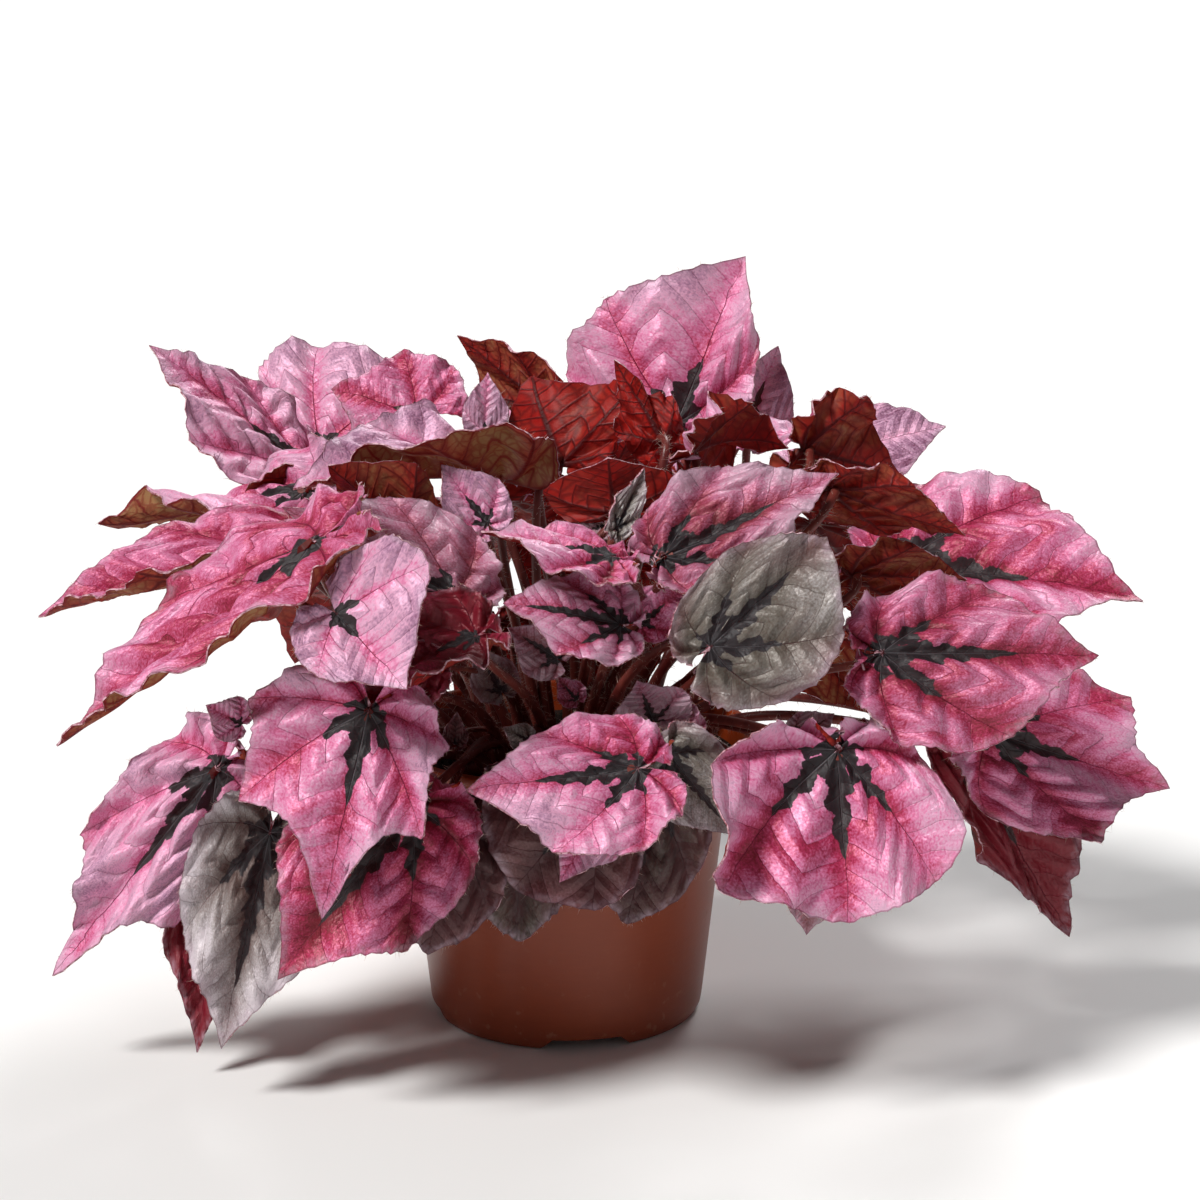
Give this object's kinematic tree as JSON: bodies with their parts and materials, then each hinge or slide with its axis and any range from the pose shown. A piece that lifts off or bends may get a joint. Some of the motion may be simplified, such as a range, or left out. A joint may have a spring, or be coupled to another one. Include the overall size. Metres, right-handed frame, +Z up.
{
  "type": "potted rex begonia",
  "caption": "Bushy rex begonia with pink, silver and near-black lopsided leaves on hairy red stalks, in a round tapering nursery pot filled with peat.",
  "frame": {"origin": "centre of the pot's underside, on the surface it stands on", "axes": "+Z up the pot's axis, -Y towards the side the picture shows, +X to its right"},
  "size_m": [0.3682, 0.291, 0.2542],
  "materials": {
    "leaf_pink": "satin",
    "leaf_silver": "satin",
    "stalk": "satin",
    "peat": "matte",
    "pot": "satin"
  },
  "bodies": {
    "root": {"pot": "pot", "soil": "peat", "stems": "stalk", "leaf_left_high": "leaf_pink", "leaf_left_curl": "leaf_pink", "leaf_left_mid": "leaf_pink", "leaf_left_low": "leaf_pink", "leaf_left_grey": "leaf_pink", "leaf_left_heart": "leaf_pink", "leaf_back_left_round": "leaf_pink", "leaf_back_left_ruffled": "leaf_pink", "leaf_left_arched": "leaf_pink", "leaf_left_funnel": "leaf_pink", "leaf_young_silver": "leaf_pink", "leaf_centre_left": "leaf_pink", "leaf_centre_big": "leaf_pink", "leaf_centre_green": "leaf_silver", "leaf_centre_dark": "leaf_pink", "leaf_centre_red": "leaf_pink", "leaf_centre_boat": "leaf_pink", "leaf_centre_slate": "leaf_silver", "leaf_fan_red": "leaf_pink", "leaf_top_olive": "leaf_pink", "leaf_red_narrow": "leaf_pink", "leaf_red_arch": "leaf_pink", "leaf_arch_inner": "leaf_pink", "leaf_top_big": "leaf_pink", "leaf_top_small": "leaf_pink", "leaf_right_red_high": "leaf_pink", "leaf_right_red_low": "leaf_pink", "leaf_right_back": "leaf_pink", "leaf_right_top": "leaf_pink", "leaf_right_under": "leaf_pink", "leaf_right_big": "leaf_pink", "leaf_right_low": "leaf_pink", "leaf_right_dark": "leaf_pink", "leaf_right_front": "leaf_pink", "leaf_right_front_under": "leaf_silver", "leaf_front_left": "leaf_pink", "leaf_front_left_red": "leaf_pink", "leaf_left_hanging": "leaf_pink", "leaf_left_silver": "leaf_silver", "leaf_left_last": "leaf_pink", "leaf_under_red": "leaf_silver", "leaf_front_centre": "leaf_pink", "leaf_front_tip": "leaf_pink", "leaf_front_grey": "leaf_silver", "leaf_front_olive_left": "leaf_silver", "leaf_front_olive_right": "leaf_silver", "leaf_young_star": "leaf_silver", "leaf_rim_olive": "leaf_silver", "leaf_rim_grey": "leaf_silver", "leaf_back_west": "leaf_pink", "leaf_back_north_west": "leaf_pink", "leaf_back_north": "leaf_pink", "leaf_back_north_east": "leaf_pink", "leaf_back_east": "leaf_pink", "leaf_back_far_east": "leaf_pink", "leaf_back_low": "leaf_silver", "leaf_back_top": "leaf_pink"}
  },
  "joints": []
}
